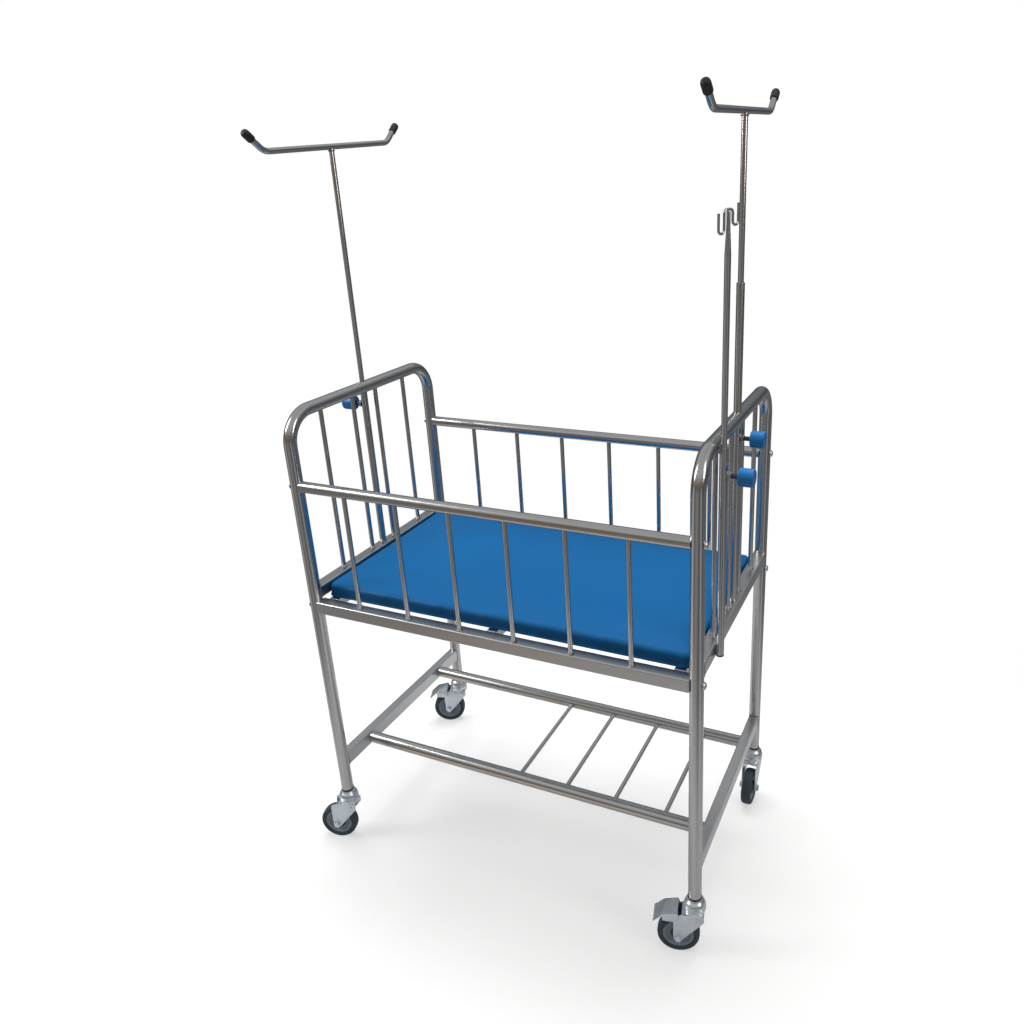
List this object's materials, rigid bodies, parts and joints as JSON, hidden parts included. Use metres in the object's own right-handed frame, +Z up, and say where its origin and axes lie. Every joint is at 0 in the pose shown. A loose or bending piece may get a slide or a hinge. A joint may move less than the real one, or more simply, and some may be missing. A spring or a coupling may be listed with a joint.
{
  "type": "hospital bassinet",
  "caption": "Stainless tube infant crib on swivel casters with barred sides, thin blue mattress, low tube shelf and sliding drip poles with clamp knobs.",
  "frame": {"origin": "on the floor, under the middle of the four legs", "axes": "+Z up, +X along the bed towards the end with two poles, the front long side faces -Y"},
  "size_m": [0.9482, 0.5196, 1.5187],
  "materials": {
    "polished_steel": "polished stainless tube",
    "satin_steel": "satin stainless section",
    "zinc_steel": "bright zinc plate",
    "blue_vinyl": "glossy coated vinyl over foam",
    "blue_plastic": "moulded, half gloss",
    "black_rubber": "smooth moulded",
    "tyre_rubber": "matt tread",
    "grey_plastic": "moulded rim, matt"
  },
  "bodies": {
    "frame": {"end_arch_left": "polished_steel", "end_grille_left": "polished_steel", "pole_socket_left": "polished_steel", "low_rail_left": "satin_steel", "end_arch_right": "polished_steel", "end_grille_right": "polished_steel", "pole_socket_right": "polished_steel", "low_rail_right": "satin_steel", "top_rail_front": "polished_steel", "side_grille_front": "satin_steel", "rail_bolt_front_left_upper": "zinc_steel", "rail_bolt_front_left_lower": "zinc_steel", "rail_bolt_front_right_upper": "zinc_steel", "rail_bolt_front_right_lower": "zinc_steel", "top_rail_rear": "polished_steel", "side_grille_rear": "satin_steel", "rail_bolt_rear_left_upper": "zinc_steel", "rail_bolt_rear_left_lower": "zinc_steel", "rail_bolt_rear_right_upper": "zinc_steel", "rail_bolt_rear_right_lower": "zinc_steel", "shelf_rack": "polished_steel", "pole_socket_hook": "polished_steel", "bed_deck": "satin_steel", "mattress": "blue_vinyl", "pole_socket_hook_plug": "black_rubber", "caster_stem_front_right": "zinc_steel", "caster_stem_front_left": "zinc_steel", "caster_stem_rear_left": "zinc_steel", "caster_stem_rear_right": "zinc_steel"},
    "caster_front_right": {"caster_fork_front_right": "zinc_steel", "axle_bolt_front_right": "zinc_steel"},
    "wheel_front_right": {"wheel_hub_front_right": "grey_plastic", "wheel_tyre_front_right": "tyre_rubber"},
    "brake_front_right": {"brake_pedal_front_right": "zinc_steel"},
    "caster_front_left": {"caster_fork_front_left": "zinc_steel", "axle_bolt_front_left": "zinc_steel"},
    "wheel_front_left": {"wheel_hub_front_left": "grey_plastic", "wheel_tyre_front_left": "tyre_rubber"},
    "caster_rear_left": {"caster_fork_rear_left": "zinc_steel", "axle_bolt_rear_left": "zinc_steel"},
    "wheel_rear_left": {"wheel_hub_rear_left": "grey_plastic", "wheel_tyre_rear_left": "tyre_rubber"},
    "brake_rear_left": {"brake_pedal_rear_left": "zinc_steel"},
    "caster_rear_right": {"caster_fork_rear_right": "zinc_steel", "axle_bolt_rear_right": "zinc_steel"},
    "wheel_rear_right": {"wheel_hub_rear_right": "grey_plastic", "wheel_tyre_rear_right": "tyre_rubber"},
    "t_pole_left": {"t_pole_left": "polished_steel", "t_pole_tip_left_front": "black_rubber", "t_pole_tip_left_rear": "black_rubber"},
    "t_pole_right": {"t_pole_right": "polished_steel", "t_pole_tip_right_front": "black_rubber", "t_pole_tip_right_rear": "black_rubber"},
    "hook_pole": {"hook_pole": "polished_steel", "iv_hook": "polished_steel"},
    "clamp_knob_left": {"clamp_knob_left": "blue_plastic"},
    "clamp_knob_right": {"clamp_knob_right": "blue_plastic"},
    "clamp_knob_hook": {"clamp_knob_hook": "blue_plastic"}
  },
  "joints": [
    {"name": "swivel_front_right", "type": "hinge", "parent": "frame", "child": "caster_front_right", "pos_m": [0.4, -0.23, 0.1], "axis": [0, 0, 1], "continuous": true},
    {"name": "roll_front_right", "type": "hinge", "parent": "caster_front_right", "child": "wheel_front_right", "pos_m": [0.37089, -0.23726, 0.04], "axis": [-0.2419, 0.9703, 0], "continuous": true},
    {"name": "brake_front_right", "type": "hinge", "parent": "caster_front_right", "child": "brake_front_right", "pos_m": [0.36701, -0.23822, 0.087], "axis": [0.2419, -0.9703, 0], "range_deg": [0, 14]},
    {"name": "swivel_front_left", "type": "hinge", "parent": "frame", "child": "caster_front_left", "pos_m": [-0.4, -0.23, 0.1], "axis": [0, 0, 1], "continuous": true},
    {"name": "roll_front_left", "type": "hinge", "parent": "caster_front_left", "child": "wheel_front_left", "pos_m": [-0.42884, -0.23827, 0.04], "axis": [-0.2756, 0.9613, 0], "continuous": true},
    {"name": "swivel_rear_left", "type": "hinge", "parent": "frame", "child": "caster_rear_left", "pos_m": [-0.4, 0.23, 0.1], "axis": [0, 0, 1], "continuous": true},
    {"name": "roll_rear_left", "type": "hinge", "parent": "caster_rear_left", "child": "wheel_rear_left", "pos_m": [-0.42741, 0.2178, 0.04], "axis": [-0.4067, 0.9135, 0], "continuous": true},
    {"name": "brake_rear_left", "type": "hinge", "parent": "caster_rear_left", "child": "brake_rear_left", "pos_m": [-0.43106, 0.21617, 0.087], "axis": [0.4067, -0.9135, 0], "range_deg": [0, 14]},
    {"name": "swivel_rear_right", "type": "hinge", "parent": "frame", "child": "caster_rear_right", "pos_m": [0.4, 0.23, 0.1], "axis": [0, 0, 1], "continuous": true},
    {"name": "roll_rear_right", "type": "hinge", "parent": "caster_rear_right", "child": "wheel_rear_right", "pos_m": [0.4, 0.2, 0.04], "axis": [-1, 0, 0], "continuous": true},
    {"name": "t_pole_slide_left", "type": "slide", "parent": "frame", "child": "t_pole_left", "axis": [0, 0, 1], "range_m": [-0.2, 0.07]},
    {"name": "t_pole_slide_right", "type": "slide", "parent": "frame", "child": "t_pole_right", "axis": [0, 0, 1], "range_m": [-0.2, 0.07]},
    {"name": "hook_pole_slide", "type": "slide", "parent": "frame", "child": "hook_pole", "axis": [0, 0, 1], "range_m": [-0.16, 0.12]},
    {"name": "knob_turn_left", "type": "hinge", "parent": "frame", "child": "clamp_knob_left", "pos_m": [-0.4, 0, 0.95], "axis": [-1, 0, 0], "range_deg": [0, 360]},
    {"name": "knob_turn_right", "type": "hinge", "parent": "frame", "child": "clamp_knob_right", "pos_m": [0.4, 0, 0.95], "axis": [1, 0, 0], "range_deg": [0, 360]},
    {"name": "knob_turn_hook", "type": "hinge", "parent": "frame", "child": "clamp_knob_hook", "pos_m": [0.4198, -0.16, 0.939], "axis": [1, 0, 0], "range_deg": [0, 360]}
  ]
}
